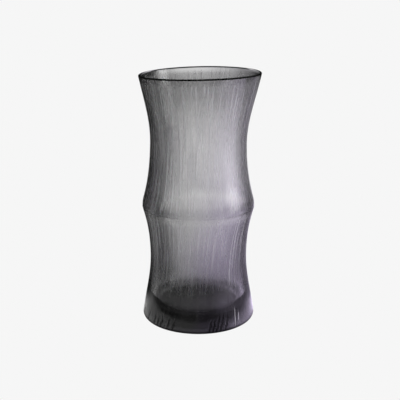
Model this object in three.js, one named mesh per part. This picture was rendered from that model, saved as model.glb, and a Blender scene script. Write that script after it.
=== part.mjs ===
// Smoked-glass flower vase in the form of two bamboo joints: a heavy base, a lower and an upper wall
// that narrow to a waist, the raised node between them, and a rounded lip.
// Every piece is turned about the vertical axis and meets the next in a flat, level seam.
// Units are millimetres, +Z is up, and the origin is the centre of the standing face.
import * as THREE from "three";

// Outside shape. A flare is how far the wall leans out for each millimetre along the axis.
const HEIGHT = 300; // from the standing face to the top of the lip
const RIM_RADIUS = 72;
const RIM_FLARE = 0.21;
const UPPER_WAIST_HEIGHT = 220;
const UPPER_WAIST_RADIUS = 57.3;
const NODE_HEIGHT = 143;
const NODE_RADIUS = 68.3; // where the two walls would meet if the node's edge were sharp
const NODE_FLARE_ABOVE = 0.28;
const NODE_FLARE_BELOW = 0.3;
const NODE_ROUNDING = 7; // how far the rounded edge reaches above and below the node
const LOWER_WAIST_HEIGHT = 78;
const LOWER_WAIST_RADIUS = 58.5;
const FOOT_RADIUS = 68.5; // at its widest
const FOOT_FLARE = 0.14;
const FOOT_EDGE_RADIUS = 5; // rounding between the wall and the standing face

// Thickness of the glass, and the shape of the space inside
const LIP_WALL = 3;
const UPPER_WALL = 4.2;
const NODE_WALL = 4.8;
const LOWER_WALL = 5.4;
const FOOT_WALL = 10;
const FLOOR_THICKNESS = 15.5;
const CORNER_RADIUS = 21; // wide hollow corner between the floor and the wall
const NODE_ROUNDING_INSIDE = 8; // the same for the hollow of the node inside
const PUNT_RADIUS = 44; // shallow dish under the base, inside the standing ring
const PUNT_DEPTH = 2.5;

// Seams between the pieces
const LIP_HEIGHT = 3; // the polished edge at the top that the cuts stop short of
const NODE_BAND = 9; // the node ring's reach above and below the node

// Fineness of the solids
const SEGMENTS = 64; // facets round the axis
const RING_SPACING = 16; // greatest height between two rings of a wall
const NODE_RING_SPACING = 4; // the same on the node's tighter curve
const FOOT_RING_SPACING = 8; // and above the foot's rounded edge
const ARC_STEPS = 5; // straight steps in a rounded edge

const LIP_SEAM = HEIGHT - LIP_HEIGHT;
const NODE_TOP_SEAM = NODE_HEIGHT + NODE_BAND;
const NODE_FOOT_SEAM = NODE_HEIGHT - NODE_BAND;
const BASE_SEAM = FLOOR_THICKNESS + CORNER_RADIUS;

// The foot's rounded edge runs on upwards until it has the lean of the wall.
const STANDING_RADIUS = FOOT_RADIUS - FOOT_EDGE_RADIUS;
const FOOT_LEAN = Math.atan(FOOT_FLARE);
const WALL_FOOT = {
  z: FOOT_EDGE_RADIUS * (1 + Math.sin(FOOT_LEAN)),
  value: STANDING_RADIUS + FOOT_EDGE_RADIUS * Math.cos(FOOT_LEAN),
  slope: -FOOT_FLARE,
};

// Radii and slopes of a wall from the foot to the rim, with the node's edge rounded by the given reach.
function wallStations(rounding) {
  return [
    WALL_FOOT,
    { z: LOWER_WAIST_HEIGHT, value: LOWER_WAIST_RADIUS, slope: 0 },
    {
      z: NODE_HEIGHT - rounding,
      value: NODE_RADIUS - NODE_FLARE_BELOW * rounding,
      slope: NODE_FLARE_BELOW,
    },
    {
      z: NODE_HEIGHT + rounding,
      value: NODE_RADIUS - NODE_FLARE_ABOVE * rounding,
      slope: -NODE_FLARE_ABOVE,
    },
    { z: UPPER_WAIST_HEIGHT, value: UPPER_WAIST_RADIUS, slope: 0 },
    { z: HEIGHT, value: RIM_RADIUS, slope: RIM_FLARE },
  ];
}

const OUTSIDE = wallStations(NODE_ROUNDING);
const INSIDE = wallStations(NODE_ROUNDING_INSIDE);
const THICKNESS = [
  { z: FLOOR_THICKNESS, value: FOOT_WALL, slope: 0 },
  { z: LOWER_WAIST_HEIGHT, value: LOWER_WALL, slope: 0 },
  { z: NODE_HEIGHT, value: NODE_WALL, slope: 0 },
  { z: UPPER_WAIST_HEIGHT, value: UPPER_WALL, slope: 0 },
  { z: HEIGHT, value: LIP_WALL, slope: 0 },
];

// Smooth value at height z between stations: a cubic that keeps each station's value and slope.
function along(stations, z) {
  const last = stations.length - 1;
  const next = stations.findIndex((station, i) => i === last || (i > 0 && z <= station.z));
  const low = stations[next - 1];
  const high = stations[next];
  const rise = high.z - low.z;
  const u = (z - low.z) / rise;
  const v = 1 - u;
  return (
    low.value * (1 + 2 * u) * v * v +
    low.slope * rise * u * v * v +
    high.value * (1 + 2 * v) * u * u -
    high.slope * rise * v * u * u
  );
}

const outerRadius = (z) => along(OUTSIDE, z);
const innerRadius = (z) => along(INSIDE, z) - along(THICKNESS, z);

// Points of a wall's surface from one height to another, both included.
function wallPoints(radius, from, to, spacing) {
  const steps = Math.max(1, Math.ceil(Math.abs(to - from) / spacing));
  return Array.from({ length: steps + 1 }, (_, i) => {
    const z = THREE.MathUtils.lerp(from, to, i / steps);
    return new THREE.Vector2(radius(z), z);
  });
}

// Smoked glass, darker where it is thicker. The cut outside is satin and the rest is polished.
const CUT_ROUGHNESS = 0.38;
const POLISHED_ROUGHNESS = 0.08;

function glass(color, roughness, opacity) {
  return new THREE.MeshStandardMaterial({ color, roughness, metalness: 0, transparent: true, opacity });
}

// A named piece turned from an outline that runs up its outside and down its inside.
function turned(name, outline, material) {
  const geometry = new THREE.LatheGeometry(outline, SEGMENTS);
  const mesh = new THREE.Mesh(geometry, material);
  mesh.name = name;
  return mesh;
}

// A ring of wall between two level seams.
function wallRing(name, low, high, spacing, material) {
  const outside = wallPoints(outerRadius, low, high, spacing);
  const inside = wallPoints(innerRadius, high, low, spacing);
  return turned(name, [...outside, ...inside, outside[0]], material);
}

// The rounded lip: the last of the wall, closed over the top by half an ellipse.
function lip() {
  const shoulder = HEIGHT - LIP_WALL / 2;
  const outer = outerRadius(shoulder);
  const inner = innerRadius(shoulder);
  const bead = new THREE.EllipseCurve(
    (outer + inner) / 2,
    shoulder,
    (outer - inner) / 2,
    HEIGHT - shoulder,
    0,
    Math.PI,
  );
  const start = new THREE.Vector2(outerRadius(LIP_SEAM), LIP_SEAM);
  const end = new THREE.Vector2(innerRadius(LIP_SEAM), LIP_SEAM);
  const outline = [start, ...bead.getPoints(2 * ARC_STEPS), end, start];
  return turned("lip", outline, glass(0x3b393e, POLISHED_ROUGHNESS, 0.8));
}

// The solid base: the dished underside, the standing ring, the rounded foot and the floor inside.
function base() {
  const punt = Array.from({ length: ARC_STEPS + 1 }, (_, i) => {
    const share = i / ARC_STEPS;
    return new THREE.Vector2(PUNT_RADIUS * share, PUNT_DEPTH * (1 - share * share));
  });
  const footEdge = new THREE.EllipseCurve(
    STANDING_RADIUS,
    FOOT_EDGE_RADIUS,
    FOOT_EDGE_RADIUS,
    FOOT_EDGE_RADIUS,
    -Math.PI / 2,
    FOOT_LEAN,
  );
  const outside = wallPoints(outerRadius, WALL_FOOT.z, BASE_SEAM, FOOT_RING_SPACING);
  const cavityRadius = innerRadius(FLOOR_THICKNESS);
  const corner = new THREE.QuadraticBezierCurve(
    new THREE.Vector2(innerRadius(BASE_SEAM), BASE_SEAM),
    new THREE.Vector2(cavityRadius, FLOOR_THICKNESS),
    new THREE.Vector2(cavityRadius - CORNER_RADIUS, FLOOR_THICKNESS),
  );
  const outline = [
    ...punt,
    ...footEdge.getPoints(ARC_STEPS),
    ...outside.slice(1),
    ...corner.getPoints(ARC_STEPS),
    new THREE.Vector2(0, FLOOR_THICKNESS),
  ];
  return turned("base", outline, glass(0x2c2b2f, POLISHED_ROUGHNESS, 0.9));
}

// The three rings of wall, each with the depth of tone that its glass shows.
function walls() {
  const lowerGlass = glass(0x75737a, CUT_ROUGHNESS, 0.65);
  const nodeGlass = glass(0x9c9a9f, CUT_ROUGHNESS, 0.6);
  const upperGlass = glass(0xa2a0a5, CUT_ROUGHNESS, 0.55);
  return [
    wallRing("lower_wall", BASE_SEAM, NODE_FOOT_SEAM, RING_SPACING, lowerGlass),
    wallRing("node_ring", NODE_FOOT_SEAM, NODE_TOP_SEAM, NODE_RING_SPACING, nodeGlass),
    wallRing("upper_wall", NODE_TOP_SEAM, LIP_SEAM, RING_SPACING, upperGlass),
  ];
}

// Lathes turn about Y, so the assembly is stood up along Z.
const vase = new THREE.Group();
vase.name = "glass_vase";
vase.rotation.x = Math.PI / 2;
vase.add(base(), ...walls(), lip());

export default vase;
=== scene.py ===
"""Looks of a smoked-glass vase: one closed body of satin-cut glass, on a pale floor in soft studio light."""

import math

import bpy
import numpy as np
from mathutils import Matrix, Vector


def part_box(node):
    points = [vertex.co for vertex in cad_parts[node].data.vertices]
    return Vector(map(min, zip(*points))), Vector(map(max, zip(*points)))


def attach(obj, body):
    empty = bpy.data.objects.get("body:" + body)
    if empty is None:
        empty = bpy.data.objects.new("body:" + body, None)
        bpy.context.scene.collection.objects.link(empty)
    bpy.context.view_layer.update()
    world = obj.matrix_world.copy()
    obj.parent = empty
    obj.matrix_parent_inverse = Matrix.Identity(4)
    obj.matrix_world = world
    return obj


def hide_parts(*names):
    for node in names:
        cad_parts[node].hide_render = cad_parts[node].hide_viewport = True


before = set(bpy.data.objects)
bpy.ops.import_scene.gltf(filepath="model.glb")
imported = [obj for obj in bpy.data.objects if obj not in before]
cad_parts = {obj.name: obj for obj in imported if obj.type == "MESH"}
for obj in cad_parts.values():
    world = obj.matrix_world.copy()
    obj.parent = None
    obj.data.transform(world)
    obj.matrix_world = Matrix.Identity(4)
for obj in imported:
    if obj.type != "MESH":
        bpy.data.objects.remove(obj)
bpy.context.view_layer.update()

MM = 0.001
SEED = 11

# Camera
CAMERA_POSITION = (2.0 * MM, -971.8 * MM, 415.3 * MM)
CAMERA_PITCH = math.radians(15.47)
CAMERA_SENSOR = 36.0
CAMERA_LENS = 75.15

# Fineness of the glass: columns round the cut outside and round the smooth rest, and heights of the rows
CUT_COLUMNS = 1056
SMOOTH_COLUMNS = 176
WALL_ROW = 6 * MM
INSIDE_ROW = 12 * MM
NODE_ROW = 1.6 * MM
NODE_REACH = 10 * MM
CREASE_ROW = 0.35 * MM
CREASE_REACH = 2.5 * MM
ROUND_ROWS = 6
CORNER_ROWS = 18
FLOOR_RINGS = 3

# Small roundings, as on the solids, and the line of painted shade on the lip: black painted over its outer
# side and just below it
FOOT_EDGE = 5 * MM
LIP_ROUNDING = 1.5 * MM
LIP_LINE_DEPTH = 0.15 * MM
LIP_LINE_FADE = 0.2 * MM
LIP_LINE_ARC = math.pi / 3

# Wheel cuts on the outside. Those of the lower joint lean, their upper ends to +X on the front.
CUT_PITCH = 5.0 * MM
CUT_TIERS = 4
CUT_HALF_WIDTH = (0.6 * MM, 1.4 * MM)
CUT_LENGTH = (30 * MM, 90 * MM)
CUT_OVERRUN = 16 * MM
CUT_DEPTH = (0.01 * MM, 0.08 * MM)
CUT_END_SHARPNESS = 6
CUT_SIDE_MARGIN = 1.2
CUT_LEAN_SPREAD = 0.02
LOWER_LEAN = 0.08
UPPER_LEAN = 0.0
LIP_END_SPREAD = 2 * MM
NODE_END_SPREAD = 3 * MM
FOOT_OVERRUN = 10 * MM
LEAST_SATIN = 0.52
FOOT_RELIEF = 0.3

# Single cuts near the foot: degrees to the right of the front, lowest and highest point in millimetres.
# The short ones are deep and painted black as shade, the long ones faint and painted darker as shade, and the
# ground ones light.
FOOT_CUTS = [
    (-50, 2, 17), (-45, 2, 17), (-40, 2, 18), (-32, 2, 15), (-26, 3, 14),
    (12, 2, 14), (16, 2, 17), (20, 2, 20), (25, 2, 24), (30, 2, 19),
]
FOOT_CUT_HALF_WIDTH = 0.95 * MM
FOOT_CUT_LEAN = 0.3
FOOT_CUT_DEPTH = 0.3 * MM
# How strongly the deep and long cuts are painted black as shade for their depth
FOOT_CUT_PAINTED_SHADE = 1.5
LONG_CUTS = [(35, 22, 62), (39, 4, 58), (43, 18, 70)]
LONG_CUT_HALF_WIDTH = 0.7 * MM
LONG_CUT_DEPTH = 0.02 * MM
GROUND_CUTS = [(41, 4, 27), (46, 8, 24), (39, 58, 96)]
GROUND_CUT_HALF_WIDTH = 0.8 * MM
GROUND_FROST = 0.3

# More short cuts round the rest of the foot, strewn between two angles, painted black as shade like the short
# ones
BACK_CUTS = 26
BACK_CUT_ANGLES = (65, 300)
BACK_CUT_BOTTOM = 2
BACK_CUT_TOP = (13, 19)

# The node's fine edge: a raised line with a shallow groove above it, broken up by the ends of the cuts
CREASE_DROP = 2.4 * MM
CREASE_HEIGHT = (0.10 * MM, 0.35 * MM)
CREASE_HALF_WIDTH = 0.6 * MM
GROOVE_RISE = 1.5 * MM
GROOVE_DEPTH = 0.10 * MM
CREASE_PIECES = 90

# What the hand left in the shape: the rim leans to +X, its right side and its front stand higher, its edge
# waves a little, and all of it sits slightly lower than on the solids
WARP_START = 195 * MM
RIM_SHIFT = 2.0 * MM
RIM_TILT = math.radians(1.2)
RIM_TILT_BACK = math.radians(0.6)
RIM_WAVE = 0.4 * MM
RIM_DROP = 0.5 * MM

# Glass. Satin and frost grow weaker towards the foot, where the base can be seen through the wall.
GLASS_IOR = 1.5
SATIN_ROUGHNESS = 0.42
FOOT_CLEARNESS = 0.25
FOOT_CLEAR_REACH = (24 * MM, 64 * MM)
POLISHED_ROUGHNESS = 0.03
FROST = (0.06, 0.38)
FROST_REACH = (45 * MM, 115 * MM)
FOOT_FROST = 0.05
VEIL_ROUGHNESS = 0.45
GLASS_TINT = (0.30, 0.296, 0.298, 1.0)
GLASS_DENSITY = 85.0
CLEAR = (1.0, 1.0, 1.0, 1.0)
# Black painted as shade into the deep cuts and along the lip, and the shade value at which it is full
PAINTED_SHADE_COLOUR = (0.0005, 0.0005, 0.0005, 1.0)
FULL_PAINTED_SHADE = 0.15

# Values that the mesh carries at each vertex for the glass: satin, frost and ground finishes, and painted
# shade
FINISHES_AND_SHADE = ("satin", "frost", "dark", "ground")

# How closely the frame is read: decimal places of a metre, and how far a seam's points may be off its height
DIGITS = 5
SEAM_TOLERANCE = 0.01 * MM


# Small helpers
def smooth_step(t):
    t = np.clip(t, 0, 1)
    return t * t * (3 - 2 * t)


def ring_angles(count):
    return np.arange(count) * 2 * math.pi / count


# Shape of the vase, read off the frame
def rings(node):
    """Heights and radii of a node's rings of vertices about the axis, in metres."""
    places = [v.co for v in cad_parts[node].data.vertices]
    return sorted({(round(p.z, DIGITS), round(math.hypot(p.x, p.y), DIGITS)) for p in places})


def smooth_curve(points):
    """A smooth radius for any height, through points of (height, radius)."""
    z, r = np.array(sorted(points)).T
    slope = np.gradient(r, z)

    def radius(height):
        i = np.clip(np.searchsorted(z, height) - 1, 0, len(z) - 2)
        rise = z[i + 1] - z[i]
        u = (height - z[i]) / rise
        v = 1 - u
        low = r[i] * (1 + 2 * u) + slope[i] * rise * u
        high = r[i + 1] * (1 + 2 * v) - slope[i + 1] * rise * v
        return low * v * v + high * u * u

    return radius


BASE_TOP = round(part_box("base")[1].z, DIGITS)
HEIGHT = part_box("lip")[1].z
LIP_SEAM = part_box("lip")[0].z
NODE_MIDDLE = (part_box("node_ring")[0].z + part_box("node_ring")[1].z) / 2
CREST = NODE_MIDDLE - CREASE_DROP
SHOULDER = HEIGHT - LIP_ROUNDING
base_rings = rings("base")
seam_radii = [r for z, r in base_rings if z == BASE_TOP]
MID_WALL = sum(seam_radii) / len(seam_radii)
STANDING_RADIUS = max(r for z, r in base_rings if z == 0)
PUNT_RADIUS = min(r for z, r in base_rings if z == 0)
PUNT_DEPTH = min(z for z, r in base_rings if r == 0)
FLOOR = max(z for z, r in base_rings if r == 0)
FLOOR_RADIUS = max(r for z, r in base_rings if z == FLOOR)
WALL_FOOT = min(z for z, r in base_rings if r > STANDING_RADIUS and z > FOOT_EDGE)

wall_rings = [ring for node in ("lower_wall", "node_ring", "upper_wall", "lip") for ring in rings(node)]
wall_rings = [(z, r) for z, r in wall_rings if z <= LIP_SEAM + SEAM_TOLERANCE]
outside_rings = {z: r for z, r in base_rings if r > MID_WALL and z >= WALL_FOOT}
inside_rings = {BASE_TOP: min(seam_radii)}
for z, r in wall_rings:
    outside_rings[z] = max(r, outside_rings.get(z, r))
    inside_rings[z] = min(r, inside_rings.get(z, r))
outer_radius = smooth_curve(outside_rings.items())
inner_radius = smooth_curve(inside_rings.items())


# Wheel cuts
def add_cut(depth, angles, heights, centre, bottom, top, lean, half_width, deepest):
    """Makes one cut in a grid of depths with rows of height and columns of angle."""
    middle = (bottom + top) / 2
    along = (heights - middle) / ((top - bottom) / 2)
    rows = np.flatnonzero(np.abs(along) < 1)
    gap = (angles - centre + math.pi) % (2 * math.pi) - math.pi
    reach = half_width + abs(lean) * (top - bottom)
    columns = np.flatnonzero(np.abs(gap) * outer_radius(middle) < CUT_SIDE_MARGIN * reach)
    window = np.ix_(rows, columns)
    radii = outer_radius(heights[rows, None])
    side = gap[None, columns] * radii - lean * (heights[rows, None] - middle)
    cut = deepest * (1 - along[rows, None] ** CUT_END_SHARPNESS - (side / half_width) ** 2)
    depth[window] = np.maximum(depth[window], cut)


def add_section(rng, depth, angles, heights, low, high, spread, mean_lean):
    """Makes the cuts between two heights, with ends that spread a little at each."""
    count = round(2 * math.pi * outer_radius((low + high) / 2) / CUT_PITCH)
    for tier in range(CUT_TIERS):
        for k in range(count):
            centre = (k + rng.uniform(0, 1)) * 2 * math.pi / count
            share = (tier + rng.uniform(0, 1)) / CUT_TIERS
            middle = low - CUT_OVERRUN + share * (high - low + 2 * CUT_OVERRUN)
            half_length = rng.uniform(*CUT_LENGTH) / 2
            bottom = max(middle - half_length, low + rng.uniform(0, spread[0]))
            top = min(middle + half_length, high - rng.uniform(0, spread[1]))
            lean = rng.normal(mean_lean, CUT_LEAN_SPREAD)
            half_width = rng.uniform(*CUT_HALF_WIDTH)
            if top - bottom > half_width:
                deepest = rng.uniform(*CUT_DEPTH)
                add_cut(depth, angles, heights, centre, bottom, top, lean, half_width, deepest)


def add_marks(depth, angles, heights, marks, lean, half_width, deepest):
    """Makes single cuts, each given as an angle and two heights, as in FOOT_CUTS."""
    for angle, low, high in marks:
        centre = math.radians(angle - 90)
        add_cut(depth, angles, heights, centre, low * MM, high * MM, lean, half_width, deepest)


def crease(rng, angles, heights):
    """The node's fine edge, as a height above the wall."""
    strength = rng.uniform(*CREASE_HEIGHT, CREASE_PIECES)
    around = np.interp(angles, ring_angles(CREASE_PIECES), strength, period=2 * math.pi)
    ridge = np.exp(-(((heights - CREST) / CREASE_HALF_WIDTH) ** 2))
    groove = np.exp(-(((heights - CREST - GROOVE_RISE) / CREASE_HALF_WIDTH) ** 2))
    return np.outer(ridge, around) - GROOVE_DEPTH * groove[:, None]


def cut_surface(rng, angles, heights):
    """Relief of the outside in rows of height and columns of angle, with its satin, frost and ground finishes
    and its painted shade.
    """
    cuts = np.zeros((len(heights), len(angles)))
    deep = np.zeros_like(cuts)
    ground = np.zeros_like(cuts)
    place = (angles, heights)
    add_section(rng, cuts, *place, -FOOT_OVERRUN, CREST, (0, NODE_END_SPREAD), LOWER_LEAN)
    add_section(rng, cuts, *place, CREST, LIP_SEAM, (NODE_END_SPREAD, LIP_END_SPREAD), UPPER_LEAN)
    behind = [
        (rng.uniform(*BACK_CUT_ANGLES), BACK_CUT_BOTTOM, rng.uniform(*BACK_CUT_TOP)) for _ in range(BACK_CUTS)
    ]
    add_marks(deep, *place, FOOT_CUTS + behind, FOOT_CUT_LEAN, FOOT_CUT_HALF_WIDTH, FOOT_CUT_DEPTH)
    add_marks(deep, *place, LONG_CUTS, LOWER_LEAN, LONG_CUT_HALF_WIDTH, LONG_CUT_DEPTH)
    add_marks(ground, *place, GROUND_CUTS, LOWER_LEAN, GROUND_CUT_HALF_WIDTH, deepest=1.0)

    edge = smooth_step(heights[:, None] / FOOT_EDGE)
    start, end = FROST_REACH
    calm = FOOT_RELIEF + (1 - FOOT_RELIEF) * smooth_step((heights[:, None] - start) / (end - start))
    relief = crease(rng, angles, heights) - np.maximum(cuts * calm, deep) * edge
    frost = np.clip(cuts / CUT_DEPTH[1], 0, 1)
    satin = np.maximum(LEAST_SATIN + (1 - LEAST_SATIN) * frost, ground / FOOT_CLEARNESS)
    satin[-1] = 0
    # Painted shade: the deep foot cuts and the long cuts are painted black in step with their depth
    dark = np.clip(FOOT_CUT_PAINTED_SHADE * deep / FOOT_CUT_DEPTH, 0, 1)
    return relief, {"satin": satin, "frost": frost, "dark": dark, "ground": ground}


# The glass body
def hand_warp(points):
    """Leans, tilts, waves and lowers the rim, more and more above the start of the warp."""
    x, y, z = points.T
    share = smooth_step((z - WARP_START) / (HEIGHT - WARP_START))
    around = np.arctan2(y, x)
    rise = math.tan(RIM_TILT) * x - math.tan(RIM_TILT_BACK) * y - RIM_WAVE * np.cos(2 * around)
    return np.stack([x + RIM_SHIFT * share, y, z + (rise - RIM_DROP) * share], axis=1)


def outside_profile():
    """Rows of the cut outside from the standing ring to the foot of the lip: height and radius."""
    arc = np.linspace(-math.pi / 2, 0, ROUND_ROWS + 1)[1:]
    foot = [(FOOT_EDGE * (1 + math.sin(a)), STANDING_RADIUS + FOOT_EDGE * math.cos(a)) for a in arc]
    stops = [
        (WALL_FOOT, WALL_ROW),
        (NODE_MIDDLE - NODE_REACH, NODE_ROW),
        (CREST - CREASE_REACH, CREASE_ROW),
        (CREST + CREASE_REACH, NODE_ROW),
        (NODE_MIDDLE + NODE_REACH, WALL_ROW),
        (LIP_SEAM, WALL_ROW),
    ]
    heights = []
    for (low, step), (high, _) in zip(stops, stops[1:]):
        heights.extend(np.linspace(low, high, round((high - low) / step), endpoint=False))
    heights.append(LIP_SEAM)
    wall = [(z, float(outer_radius(z))) for z in heights]
    return np.array(foot + wall)


def lip_profile():
    """Rows over the rounded lip, from its outer to its inner shoulder: height, radius and painted shade,
    black painted along the lip's outer side.
    """
    outer = float(outer_radius(SHOULDER))
    inner = float(inner_radius(SHOULDER))
    arc = np.linspace(0, math.pi, 2 * ROUND_ROWS + 1)
    z = SHOULDER + LIP_ROUNDING * np.sin(arc)
    r = (outer + inner) / 2 + (outer - inner) / 2 * np.cos(arc)
    # Painted shade: black over the outer third of the lip's round, fading out across its top, and on a thin
    # band just below it
    dark = smooth_step(2 - arc / LIP_LINE_ARC)
    line_foot = SHOULDER - LIP_LINE_DEPTH
    line = [(line_foot - LIP_LINE_FADE, 0.0), (line_foot, 1.0)]
    line = [(height, float(outer_radius(height)), darkness) for height, darkness in line]
    return [*line, *zip(z, r, dark)]


def inside_profile():
    """Rows of the smooth inside, from under the lip down to the floor and in towards its middle."""
    heights = np.arange(LIP_SEAM, BASE_TOP, -INSIDE_ROW)
    wall = [(z, float(inner_radius(z))) for z in heights]
    share = np.linspace(0, 1, CORNER_ROWS + 1)
    top = np.array([BASE_TOP, min(seam_radii)])
    bend = np.array([FLOOR, FLOOR_RADIUS + BASE_TOP - FLOOR])
    floor = np.array([FLOOR, FLOOR_RADIUS])
    corner = [(1 - s) ** 2 * top + 2 * s * (1 - s) * bend + s * s * floor for s in share]
    inset = [(FLOOR, FLOOR_RADIUS * (1 - s)) for s in np.linspace(0, 1, FLOOR_RINGS + 2)[1:-1]]
    return np.array([*wall, *corner, *inset])


def under_profile():
    """Rows of the underside, from near the axis out to the standing ring's outer edge."""
    shares = np.linspace(0, 1, ROUND_ROWS + 1)[1:]
    dish = [(PUNT_DEPTH * (1 - s * s), PUNT_RADIUS * s) for s in shares]
    middle = (PUNT_RADIUS + STANDING_RADIUS) / 2
    return np.array(dish + [(0.0, middle), (0.0, STANDING_RADIUS)])


class Grid:
    """Collects rings of vertices and the faces between them."""

    def __init__(self):
        self.points = []
        self.finish_and_shade = {name: [] for name in FINISHES_AND_SHADE}
        self.faces = []
        self.count = 0

    def ring(self, z, r, angles, **finish_and_shade):
        """Adds a ring with one radius, or one for each angle, and returns its vertex numbers."""
        r = np.broadcast_to(r, angles.shape)
        z = np.broadcast_to(z, angles.shape)
        self.points.append(np.stack([r * np.cos(angles), r * np.sin(angles), z], axis=1))
        for name, values in self.finish_and_shade.items():
            values.append(np.broadcast_to(finish_and_shade.get(name, 0.0), angles.shape))
        numbers = np.arange(self.count, self.count + len(angles))
        self.count += len(angles)
        return numbers

    def pole(self, z):
        """Adds a point on the axis."""
        return int(self.ring(z, 0.0, np.zeros(1))[0])

    def band(self, low, high):
        """Joins two rings of the same count."""
        low_next, high_next = np.roll(low, -1), np.roll(high, -1)
        self.faces.extend(zip(low, low_next, high_next, high))

    def bands(self, stack):
        """Joins each ring of a stack to the next."""
        for low, high in zip(stack, stack[1:]):
            self.band(low, high)

    def widen(self, coarse, fine, inwards):
        """Joins a ring to one of several times its count."""
        ratio = len(fine) // len(coarse)
        for k, a in enumerate(coarse):
            b = coarse[(k + 1) % len(coarse)]
            steps = [fine[(k * ratio + i) % len(fine)] for i in range(ratio + 1)]
            half = ratio // 2
            face = [a, b, *reversed(steps[half:])]
            faces = [(a, steps[i + 1], steps[i]) for i in range(half)] + [tuple(face)]
            if inwards:
                faces = [tuple(reversed(f)) for f in faces]
            self.faces.extend(faces)

    def cap(self, pole, ring, inwards):
        """Closes a ring with triangles to a point on the axis."""
        for a, b in zip(ring, np.roll(ring, -1)):
            self.faces.append((pole, a, b) if inwards else (pole, b, a))


def glass_mesh():
    """The closed body: the underside, the cut outside, the lip and the smooth inside."""
    fine = ring_angles(CUT_COLUMNS)
    coarse = ring_angles(SMOOTH_COLUMNS)
    grid = Grid()

    pole = grid.pole(PUNT_DEPTH)
    under = [grid.ring(z, r, coarse) for z, r in under_profile()]
    grid.cap(pole, under[0], inwards=False)
    grid.bands(under)

    outside = outside_profile()
    relief, finish_and_shade = cut_surface(np.random.default_rng(SEED), fine, outside[:, 0])
    rows = []
    for k, (z, r) in enumerate(outside):
        row_finish_and_shade = {name: values[k] for name, values in finish_and_shade.items()}
        rows.append(grid.ring(z, r + relief[k], fine, **row_finish_and_shade))
    grid.widen(under[-1], rows[0], inwards=False)
    grid.bands(rows)

    inside = [grid.ring(z, r, coarse, dark=dark) for z, r, dark in lip_profile()]
    inside += [grid.ring(z, r, coarse) for z, r in inside_profile()]
    grid.widen(inside[0], rows[-1], inwards=True)
    grid.bands(inside)
    grid.cap(grid.pole(FLOOR), inside[-1], inwards=True)

    points = hand_warp(np.concatenate(grid.points))
    mesh = bpy.data.meshes.new("glass_body")
    mesh.from_pydata(points.tolist(), [], [[int(i) for i in f] for f in grid.faces])
    for name, values in grid.finish_and_shade.items():
        attribute = mesh.attributes.new(name, "FLOAT", "POINT")
        attribute.data.foreach_set("value", np.concatenate(values).astype(np.float32))
    mesh.polygons.foreach_set("use_smooth", [True] * len(mesh.polygons))
    mesh.update()
    return mesh


# Materials
class Nodes:
    """A short way to add nodes and link them."""

    def __init__(self, tree):
        self.tree = tree
        tree.nodes.clear()

    def add(self, kind, inputs=None, **settings):
        node = self.tree.nodes.new(kind)
        for name, value in settings.items():
            setattr(node, name, value)
        for name, value in (inputs or {}).items():
            socket = node.inputs[name]
            if isinstance(value, bpy.types.NodeSocket):
                self.tree.links.new(value, socket)
            else:
                socket.default_value = value
        return node

    def math(self, operation, a, b):
        return self.add("ShaderNodeMath", {0: a, 1: b}, operation=operation).outputs["Value"]

    def plus(self, a, b):
        return self.math("ADD", a, b)

    def times(self, a, b):
        return self.math("MULTIPLY", a, b)

    def vector(self, operation, inputs, output):
        return self.add("ShaderNodeVectorMath", inputs, operation=operation).outputs[output]

    def axes(self, vector):
        return self.add("ShaderNodeSeparateXYZ", {"Vector": vector}).outputs

    def mix(self, share, a, b):
        return self.add("ShaderNodeMix", {"Factor": share, "A": a, "B": b}).outputs["Result"]

    def mix_colour(self, share, a, b):
        """Mixes two colours. Their sockets go by number, because others have the same names."""
        return self.add("ShaderNodeMix", {0: share, 6: a, 7: b}, data_type="RGBA").outputs[2]

    def ramp(self, value, start, end, low=0.0, high=1.0):
        """A smooth step from low to high while the value goes from start to end."""
        inputs = {"Value": value, "From Min": start, "From Max": end, "To Min": low, "To Max": high}
        node = self.add("ShaderNodeMapRange", inputs, interpolation_type="SMOOTHSTEP")
        return node.outputs["Result"]


def glass_material():
    """Smoked glass: satin with milky cuts outside, polished elsewhere, and shade painted black into the deep
    cuts and along the lip.
    """
    material = bpy.data.materials.new("smoked_glass")
    material.use_nodes = True
    nodes = Nodes(material.node_tree)
    satin, frost, dark, ground = (
        nodes.add("ShaderNodeAttribute", attribute_name=name).outputs["Fac"] for name in FINISHES_AND_SHADE
    )
    height = nodes.axes(nodes.add("ShaderNodeTexCoord").outputs["Object"])["Z"]
    share = nodes.times(satin, nodes.ramp(height, *FOOT_CLEAR_REACH, FOOT_CLEARNESS))
    share = nodes.math("MINIMUM", share, 1.0)
    haze = nodes.times(nodes.mix(frost, *FROST), nodes.ramp(height, *FROST_REACH, FOOT_FROST))
    milk = nodes.math("MAXIMUM", nodes.times(share, haze), nodes.times(ground, GROUND_FROST))
    # Painted shade: the base colour turns black, metallic rises and the coat fades where the painted shade
    # value is set
    shader = nodes.add("ShaderNodeBsdfPrincipled", {
        "Base Color": nodes.mix_colour(nodes.ramp(dark, 0.0, FULL_PAINTED_SHADE), CLEAR, PAINTED_SHADE_COLOUR),
        "Roughness": nodes.mix(share, POLISHED_ROUGHNESS, SATIN_ROUGHNESS),
        "IOR": GLASS_IOR,
        "Metallic": dark,
        "Transmission Weight": nodes.math("SUBTRACT", 1.0, milk),
        "Coat Weight": nodes.times(share, nodes.math("SUBTRACT", 1.0, dark)),
        "Coat Roughness": VEIL_ROUGHNESS,
        "Coat IOR": GLASS_IOR,
    }).outputs["BSDF"]
    volume = nodes.add("ShaderNodeVolumeAbsorption", {
        "Color": GLASS_TINT, "Density": GLASS_DENSITY,
    }).outputs["Volume"]
    nodes.add("ShaderNodeOutputMaterial", {"Surface": shader, "Volume": volume})
    return material


def add_object(name, data):
    thing = bpy.data.objects.new(name, data)
    bpy.context.scene.collection.objects.link(thing)
    return thing


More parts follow.
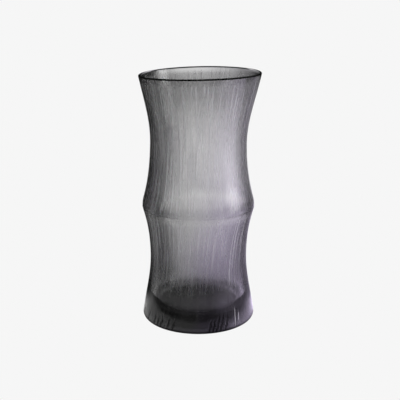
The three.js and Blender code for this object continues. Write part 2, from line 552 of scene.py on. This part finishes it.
vase = add_object("glass_body", glass_mesh())
vase.data.materials.append(glass_material())
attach(vase, "root")
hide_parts("base", "lower_wall", "node_ring", "upper_wall", "lip")

# Stage. The floor and the background are plain to the eye, and show light and shade to the glass alone.
# A ramp is a smooth step: where it starts and ends, and its value at each, or else 0 and 1.
FLOOR_HALF = 6.0
PALE = 0.9216
NEUTRAL = (1.0, 1.0, 1.0, 1)
VIOLET = (0.97, 0.86, 1.15, 1)

# Ramps of the floor behind the vase, over its depth in metres or its fan: the sideways slope of a line from
# below the camera. A bright lane, stronger on its right, fades into a gap, with a far light beyond it.
CAMERA_BACK = -CAMERA_POSITION[1]
BEHIND_START = (0.03, 0.09)
LANE_NEAR_BEND = (0.15, 0.45, -0.008, 0.0)
LANE_FAR_BEND = (1.1, 1.7, 0.0, -0.025)
LANE_LEFT = (-0.071, -0.03, 0.02, 1.0)
LANE_RIGHT = (0.12, 0.23, 1.0, 0.22)
LANE_NEAR_LIGHT = (0.1, 0.5, 0.5, 0.8)
LANE_FAR_LIGHT = (0.55, 1.0, 0.0, 0.45)
LANE_STRONG_START = (0.04, 0.08)
LANE_STRONG_LIGHT = (0.2, 0.6, 0.35, 1.4)
GAP_DELAY = (0.0, 0.07, 0.0, 0.3)
GAP = (1.15, 1.75, 1.0, 0.03)
FAR_LIGHT = (2.0, 2.45, 0.0, 0.65)
FAR_LEFT = (-0.08, -0.02, 0.1, 1.0)
FAR_RIGHT = (0.0, 0.06, 1.0, 0.4)
LEFT_GLOW = (-0.14, -0.27, 0.0, 0.36)
LEFT_GLOW_DEPTH = (0.15, 0.36, 1.0, 0.0)

# Ramps of the floor beside and in front of the vase, in metres across or away from its axis, and for the
# start of the sides in the share of that distance that lies across
SIDE_START = (0.45, 0.85)
RIGHT_START = (0.0, 0.06)
LEFT_FLOOR = (0.16, 0.26, 0.68, 0.0)
RIGHT_FLOOR_NEAR = (0.1, 0.2, 1.6, 0.4)
RIGHT_FLOOR_FAR = (0.35, 0.6, 0.0, 0.6)
FRONT_FLOOR = (0.19, 0.3, 0.5, 0.12)

# The shade where the vase stands, in front and behind
SHADE_FRONT = (0.066, 0.088, 0.1, 1.0)
SHADE_BACK = (0.062, 0.067, 0.0, 1.0)
SHADE_BACK_START = (0.0, 0.03)

# The violet cast of the light on the right of the lane
CAST_SHIFT = (0.15, 0.4, 0.035, 0.0)
CAST_SIDE = (-0.02, 0.07)
CAST_DEPTH = (0.3, 1.0, 1.0, 0.15)

# Ramps of the studio round the vase, over the parts of a direction, and two soft windows in it, each with
# its direction, the nearness to it at which its light starts and is full, and that light
LEFT_SKY = (0.7, -0.7, 0.0, 0.4)
FRONT_SKY = (-0.3, -0.95, 0.0, 0.8)
RIGHT_SKY = (0.45, -0.1, 0.0, 1.05)
RIGHT_SKY_START = (-0.2, 0.4)
DOME = (-0.5, 0.2, 0.2, 0.45)
DOME_START = (0.2, 0.65)
WINDOWS = [
    ((0.984, -0.17, 0.06), (0.94, 0.993), 3.8),
    ((-0.90, -0.42, 0.12), (0.9, 0.985), 1.1),
]


def floor_behind(nodes, fan, depth):
    """Light of the floor behind the vase: a lane, a far light beyond its gap and a glow on the left."""
    bend = nodes.plus(nodes.ramp(depth, *LANE_NEAR_BEND), nodes.ramp(depth, *LANE_FAR_BEND))
    left = nodes.ramp(nodes.plus(fan, bend), *LANE_LEFT)
    right = nodes.ramp(fan, *LANE_RIGHT)
    middle = nodes.plus(nodes.ramp(depth, *LANE_NEAR_LIGHT), nodes.ramp(depth, *LANE_FAR_LIGHT))
    strong = nodes.ramp(depth, *LANE_STRONG_LIGHT)
    level = nodes.mix(nodes.ramp(fan, *LANE_STRONG_START), middle, strong)
    gap = nodes.ramp(nodes.plus(depth, nodes.ramp(fan, *GAP_DELAY)), *GAP)
    lane = nodes.times(nodes.times(left, right), nodes.times(level, gap))
    far_side = nodes.times(nodes.ramp(fan, *FAR_LEFT), nodes.ramp(fan, *FAR_RIGHT))
    far = nodes.times(right, nodes.times(nodes.ramp(depth, *FAR_LIGHT), far_side))
    glow = nodes.times(nodes.ramp(fan, *LEFT_GLOW), nodes.ramp(depth, *LEFT_GLOW_DEPTH))
    return nodes.plus(nodes.plus(lane, far), glow)


def floor_around(nodes, across, away):
    """Light of the floor beside and in front of the vase: brightest near it on the right."""
    left = nodes.ramp(away, *LEFT_FLOOR)
    right = nodes.plus(nodes.ramp(away, *RIGHT_FLOOR_NEAR), nodes.ramp(away, *RIGHT_FLOOR_FAR))
    side = nodes.mix(nodes.ramp(across, *RIGHT_START), left, right)
    front = nodes.ramp(away, *FRONT_FLOOR)
    sideways = nodes.math("DIVIDE", nodes.math("ABSOLUTE", across, 0.0), away)
    return nodes.mix(nodes.ramp(sideways, *SIDE_START), front, side)


def floor_material():
    """A pale floor, plain to the eye and with the light and shade of the studio to the glass."""
    material = bpy.data.materials.new("pale_floor")
    material.use_nodes = True
    nodes = Nodes(material.node_tree)
    place = nodes.add("ShaderNodeTexCoord").outputs["Object"]
    across, depth, _ = nodes.axes(place)
    away = nodes.vector("LENGTH", {0: place}, "Value")
    fan = nodes.math("DIVIDE", across, nodes.plus(depth, CAMERA_BACK))

    around = floor_around(nodes, across, away)
    level = nodes.mix(nodes.ramp(depth, *BEHIND_START), around, floor_behind(nodes, fan, depth))
    shade_front = nodes.ramp(away, *SHADE_FRONT)
    shade_back = nodes.ramp(away, *SHADE_BACK)
    level = nodes.times(level, nodes.mix(nodes.ramp(depth, *SHADE_BACK_START), shade_front, shade_back))

    cast_reach = nodes.plus(fan, nodes.ramp(depth, *CAST_SHIFT))
    cast = nodes.times(nodes.ramp(cast_reach, *CAST_SIDE), nodes.ramp(depth, *CAST_DEPTH))
    colour = nodes.mix_colour(cast, NEUTRAL, VIOLET)
    colour = nodes.vector("SCALE", {0: colour, "Scale": level}, "Vector")
    seen = nodes.add("ShaderNodeLightPath").outputs["Is Camera Ray"]
    colour = nodes.mix_colour(seen, colour, (PALE, PALE, PALE, 1))
    glow = nodes.add("ShaderNodeEmission", {"Color": colour, "Strength": 1.0}).outputs["Emission"]
    nodes.add("ShaderNodeOutputMaterial", {"Surface": glow})
    return material


def add_floor():
    half = FLOOR_HALF
    mesh = bpy.data.meshes.new("floor")
    corners = [(-half, -half, 0), (half, -half, 0), (half, half, 0), (-half, half, 0)]
    mesh.from_pydata(corners, [], [(0, 1, 2, 3)])
    mesh.materials.append(floor_material())
    floor = add_object("floor", mesh)


def add_world():
    """A pale background to the eye, and to the glass a studio with light sides, a dome and two windows."""
    world = bpy.data.worlds.new("studio")
    bpy.context.scene.world = world
    world.use_nodes = True
    nodes = Nodes(world.node_tree)
    direction = nodes.add("ShaderNodeTexCoord").outputs["Generated"]
    x, y, z = nodes.axes(direction)
    left = nodes.plus(nodes.ramp(y, *LEFT_SKY), nodes.ramp(y, *FRONT_SKY))
    level = nodes.mix(nodes.ramp(x, *RIGHT_SKY_START), left, nodes.ramp(y, *RIGHT_SKY))
    level = nodes.mix(nodes.ramp(z, *DOME_START), level, nodes.ramp(x, *DOME))
    for window, reach, brightness in WINDOWS:
        nearness = nodes.vector("DOT_PRODUCT", {0: direction, 1: window}, "Value")
        level = nodes.plus(level, nodes.ramp(nearness, *reach, 0.0, brightness))
    seen = nodes.add("ShaderNodeLightPath").outputs["Is Camera Ray"]
    colour = nodes.mix(seen, level, PALE)
    light = nodes.add("ShaderNodeBackground", {"Color": colour, "Strength": 1.0}).outputs["Background"]
    nodes.add("ShaderNodeOutputWorld", {"Surface": light})


def add_camera():
    data = bpy.data.cameras.new("camera")
    data.sensor_width = CAMERA_SENSOR
    data.lens = CAMERA_LENS
    camera = add_object("camera", data)
    camera.location = CAMERA_POSITION
    camera.rotation_euler = (math.pi / 2 - CAMERA_PITCH, 0, 0)
    bpy.context.scene.camera = camera


add_floor()
add_world()
add_camera()
bpy.context.scene.view_settings.view_transform = "Standard"
